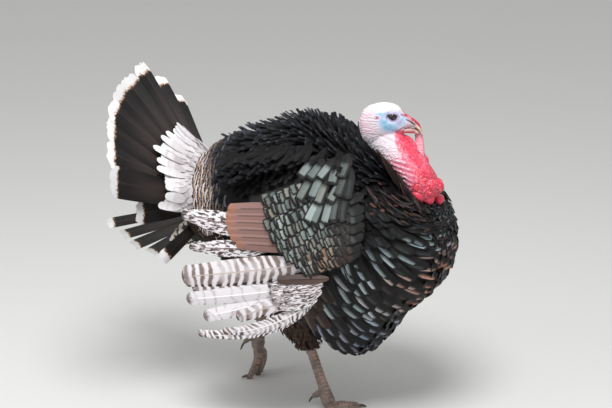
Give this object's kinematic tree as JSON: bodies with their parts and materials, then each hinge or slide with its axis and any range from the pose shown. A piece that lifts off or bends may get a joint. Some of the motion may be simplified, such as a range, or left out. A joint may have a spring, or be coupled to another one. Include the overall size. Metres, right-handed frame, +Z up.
{
  "type": "wild turkey",
  "caption": "Life-size tom turkey walking in half display, with raised fanned tail, lowered wings, bare head and neck, snood and caruncles.",
  "frame": {"origin": "middle of the whole bird's bounding box, on the floor it stands on", "axes": "+X the way the bird walks, +Y to its left, +Z up"},
  "size_m": [0.8582, 0.5692, 0.721],
  "materials": {
    "plumage_black": "black feathers with a blue and purple sheen",
    "plumage_breast": "black feathers with silvery and copper edges",
    "plumage_brown": "soft dark brown feathers",
    "plumage_rump": "feathers barred buff, brown and black",
    "wing_coverts": "grey-teal feathers with black edges and a metallic sheen",
    "secondaries": "bronze and barred flight feathers",
    "primaries": "flight feathers barred white and dark brown",
    "tail_coverts": "white-tipped barred feathers",
    "tail_feathers": "black-brown feathers with a buff line and a white tip",
    "bare_skin": "bare skin, white, pink and pale blue",
    "red_flesh": "moist red and pink fleshy skin",
    "beak_horn": "pinkish horn with a pale tip",
    "eye": "dark brown, wet",
    "shank_scales": "scaly grey-brown skin with orange scutes",
    "claw_horn": "dark horn"
  },
  "bodies": {
    "root": {"beak_lower": "beak_horn", "beak_upper": "beak_horn", "belly": "plumage_brown", "breast": "plumage_breast", "caruncles": "red_flesh", "claw_left_1": "claw_horn", "claw_left_2": "claw_horn", "claw_left_3": "claw_horn", "claw_left_4": "claw_horn", "claw_right_1": "claw_horn", "claw_right_2": "claw_horn", "claw_right_3": "claw_horn", "claw_right_4": "claw_horn", "dewlap": "red_flesh", "eye_left": "eye", "eye_right": "eye", "foot_left": "shank_scales", "foot_right": "shank_scales", "head": "bare_skin", "mantle": "plumage_black", "neck": "bare_skin", "primaries_left": "primaries", "primaries_right": "primaries", "rump": "plumage_rump", "secondaries_left": "secondaries", "secondaries_right": "secondaries", "snood": "red_flesh", "spur_left": "claw_horn", "spur_right": "claw_horn", "tail_left_1": "tail_feathers", "tail_left_2": "tail_feathers", "tail_left_3": "tail_feathers", "tail_left_4": "tail_feathers", "tail_left_5": "tail_feathers", "tail_left_6": "tail_feathers", "tail_left_7": "tail_feathers", "tail_left_8": "tail_feathers", "tail_left_9": "tail_feathers", "tail_right_1": "tail_feathers", "tail_right_2": "tail_feathers", "tail_right_3": "tail_feathers", "tail_right_4": "tail_feathers", "tail_right_5": "tail_feathers", "tail_right_6": "tail_feathers", "tail_right_7": "tail_feathers", "tail_right_8": "tail_feathers", "tail_right_9": "tail_feathers", "thigh_left": "plumage_brown", "thigh_right": "plumage_brown", "under_tail_coverts": "plumage_brown", "upper_tail_coverts": "tail_coverts", "wing_coverts_left": "wing_coverts", "wing_coverts_right": "wing_coverts"}
  },
  "joints": []
}
